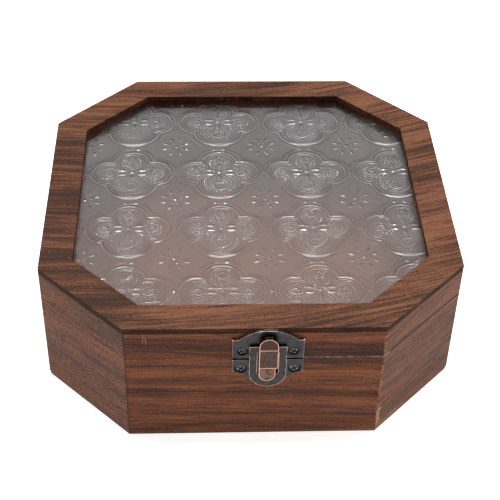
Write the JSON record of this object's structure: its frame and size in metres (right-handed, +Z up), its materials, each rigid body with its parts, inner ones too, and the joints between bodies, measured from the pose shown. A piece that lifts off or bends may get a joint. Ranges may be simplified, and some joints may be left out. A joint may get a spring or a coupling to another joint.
{
  "type": "wooden storage box",
  "caption": "Square walnut box with cut corners, a hinged lid with a patterned glass pane, and a small swinging hasp latch on the front.",
  "frame": {"origin": "centre of the underside of the wooden case, on the surface that it stands on", "axes": "+Z up, +Y from the latch at the front towards the hinges at the back, +X to the right seen from the front"},
  "size_m": [0.2, 0.2084, 0.07],
  "materials": {
    "walnut_sides": "oiled reddish-brown walnut, fine horizontal grain",
    "walnut_corners": "oiled walnut, greyer than the front",
    "walnut_top": "oiled walnut board with burnt dark edges",
    "walnut_bottom": "plain dark thin board",
    "patterned_glass": "clear pressed glass with a traditional four-lobed pattern",
    "antique_bronze": "dark antique bronze, copper showing at worn edges",
    "worn_copper": "dark copper, bright at the edges",
    "blackened_steel": "blackened steel"
  },
  "bodies": {
    "box": {"box_wall_front": "walnut_sides", "box_corner_front_right": "walnut_corners", "box_wall_right": "walnut_sides", "box_corner_back_right": "walnut_corners", "box_wall_back": "walnut_sides", "box_corner_back_left": "walnut_corners", "box_wall_left": "walnut_sides", "box_corner_front_left": "walnut_corners", "box_bottom_board": "walnut_bottom", "latch_lower_plate": "antique_bronze", "latch_screw_lower_left": "blackened_steel", "latch_screw_lower_right": "blackened_steel", "hinge_left_box_leaf": "blackened_steel", "hinge_right_box_leaf": "blackened_steel", "hinge_left_pin": "blackened_steel", "hinge_right_pin": "blackened_steel", "hinge_left_box_screw_1": "blackened_steel", "hinge_left_box_screw_2": "blackened_steel", "hinge_right_box_screw_1": "blackened_steel", "hinge_right_box_screw_2": "blackened_steel"},
    "lid": {"lid_wall_front": "walnut_sides", "lid_corner_front_right": "walnut_corners", "lid_wall_right": "walnut_sides", "lid_corner_back_right": "walnut_corners", "lid_wall_back": "walnut_sides", "lid_corner_back_left": "walnut_corners", "lid_wall_left": "walnut_sides", "lid_corner_front_left": "walnut_corners", "lid_top_board": "walnut_top", "glass_pane": "patterned_glass", "latch_upper_plate": "antique_bronze", "latch_screw_upper_left": "blackened_steel", "latch_screw_upper_right": "blackened_steel", "hinge_left_lid_leaf": "blackened_steel", "hinge_right_lid_leaf": "blackened_steel", "hinge_left_lid_screw_1": "blackened_steel", "hinge_left_lid_screw_2": "blackened_steel", "hinge_right_lid_screw_1": "blackened_steel", "hinge_right_lid_screw_2": "blackened_steel"},
    "hasp": {"latch_hasp": "antique_bronze", "latch_thumb_piece": "worn_copper"}
  },
  "joints": [
    {"name": "lid_hinge", "type": "hinge", "parent": "box", "child": "lid", "pos_m": [0, 0.10205, 0.05215], "axis": [-1, 0, 0], "range_deg": [0, 105]},
    {"name": "hasp_hinge", "type": "hinge", "parent": "lid", "child": "hasp", "pos_m": [0.006, -0.1022, 0.066], "axis": [-1, 0, 0], "range_deg": [0, 90]}
  ]
}
